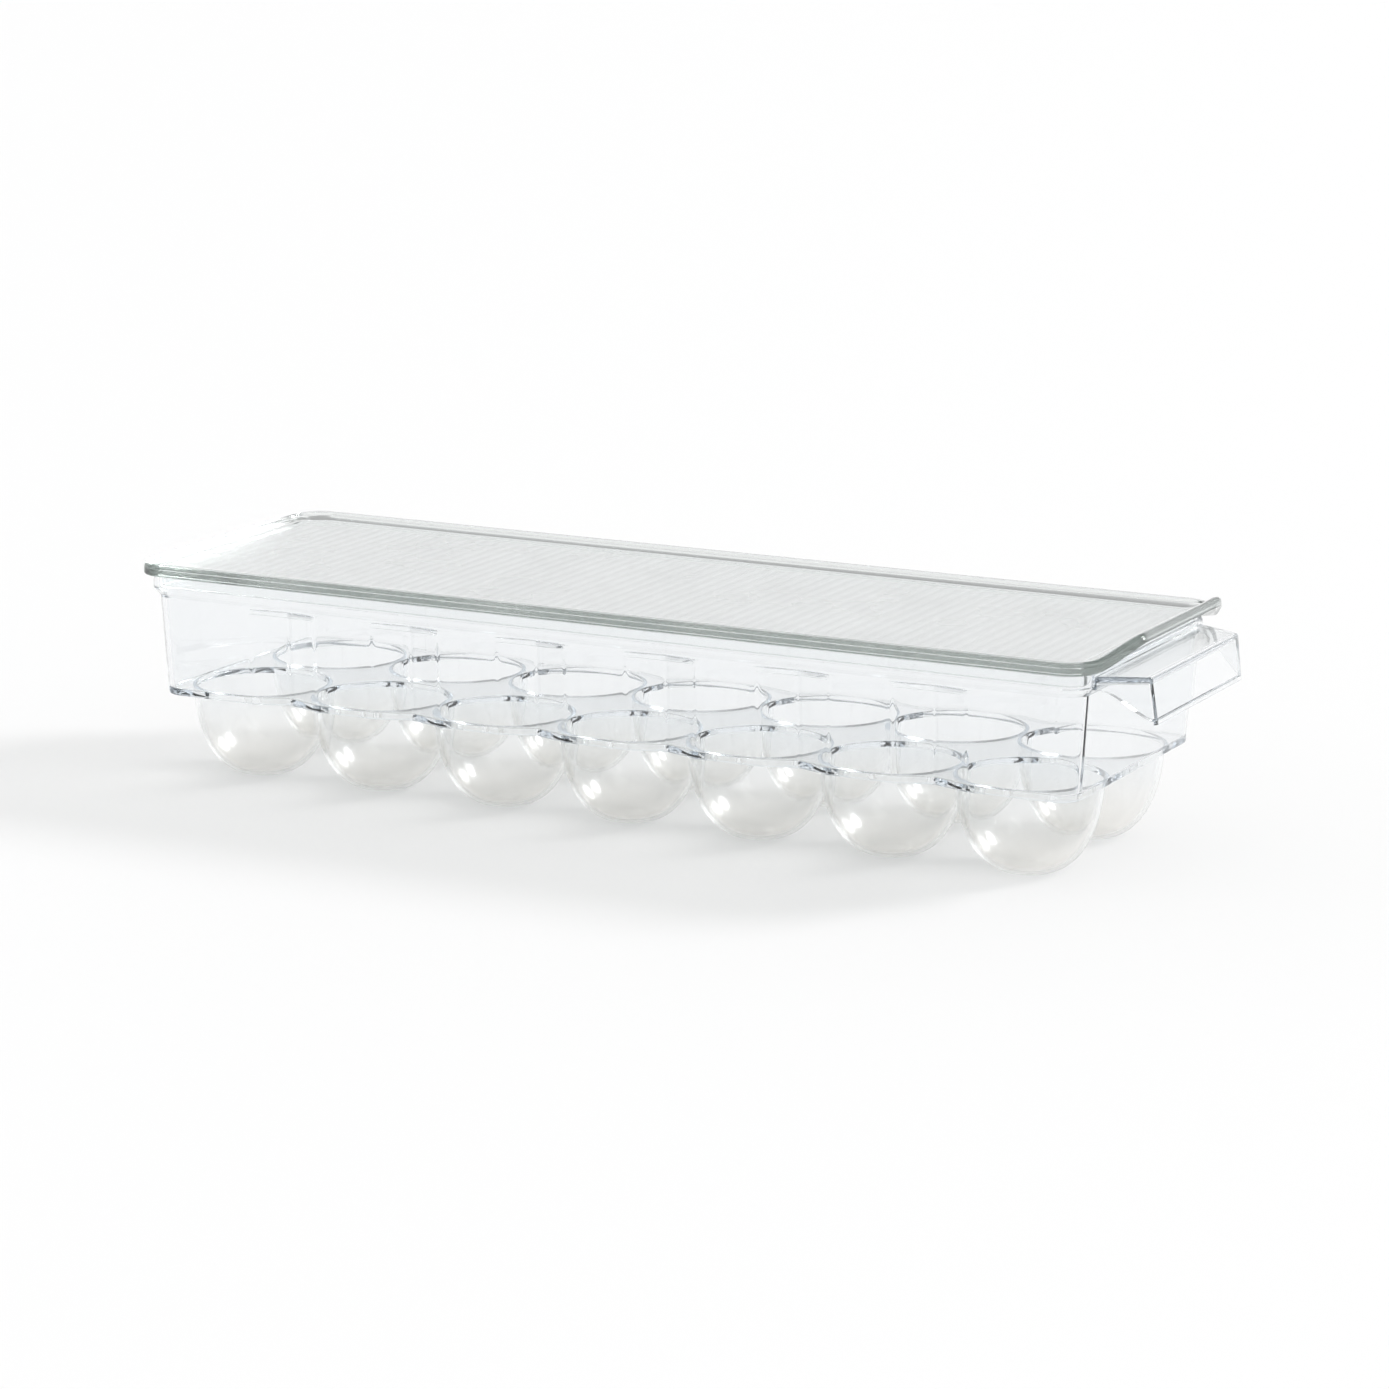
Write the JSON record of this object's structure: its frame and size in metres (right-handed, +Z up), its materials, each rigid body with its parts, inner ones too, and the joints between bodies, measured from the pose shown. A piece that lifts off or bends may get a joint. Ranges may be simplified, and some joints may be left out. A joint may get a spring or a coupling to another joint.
{
  "type": "egg holder tray",
  "caption": "Clear plastic refrigerator egg bin with two rows of round cups, a hooded pull handle and a lift-off ribbed lid with an upturned pull lip.",
  "frame": {"origin": "on the ground under the middle of the outline, level with the flat bottoms of the egg cups", "axes": "+Z up, +X along the bin towards the pull handle, Y across the two rows of cups"},
  "size_m": [0.368, 0.116, 0.083],
  "materials": {
    "tray_plastic": "water-clear polished plastic",
    "lid_plastic": "water-clear polished plastic with fine ribs under the panel"
  },
  "bodies": {
    "tray": {"cup_deck": "tray_plastic", "tray_wall": "tray_plastic", "egg_cup_01": "tray_plastic", "egg_cup_02": "tray_plastic", "egg_cup_03": "tray_plastic", "egg_cup_04": "tray_plastic", "egg_cup_05": "tray_plastic", "egg_cup_06": "tray_plastic", "egg_cup_07": "tray_plastic", "egg_cup_08": "tray_plastic", "egg_cup_09": "tray_plastic", "egg_cup_10": "tray_plastic", "egg_cup_11": "tray_plastic", "egg_cup_12": "tray_plastic", "egg_cup_13": "tray_plastic", "egg_cup_14": "tray_plastic", "pull_handle": "tray_plastic"},
    "lid": {"lid_rim": "lid_plastic", "lid_panel": "lid_plastic", "lid_pull_lip": "lid_plastic"}
  },
  "joints": [
    {"name": "lid_lift", "type": "slide", "parent": "tray", "child": "lid", "axis": [0, 0, 1], "range_m": [0, 0.1]}
  ]
}
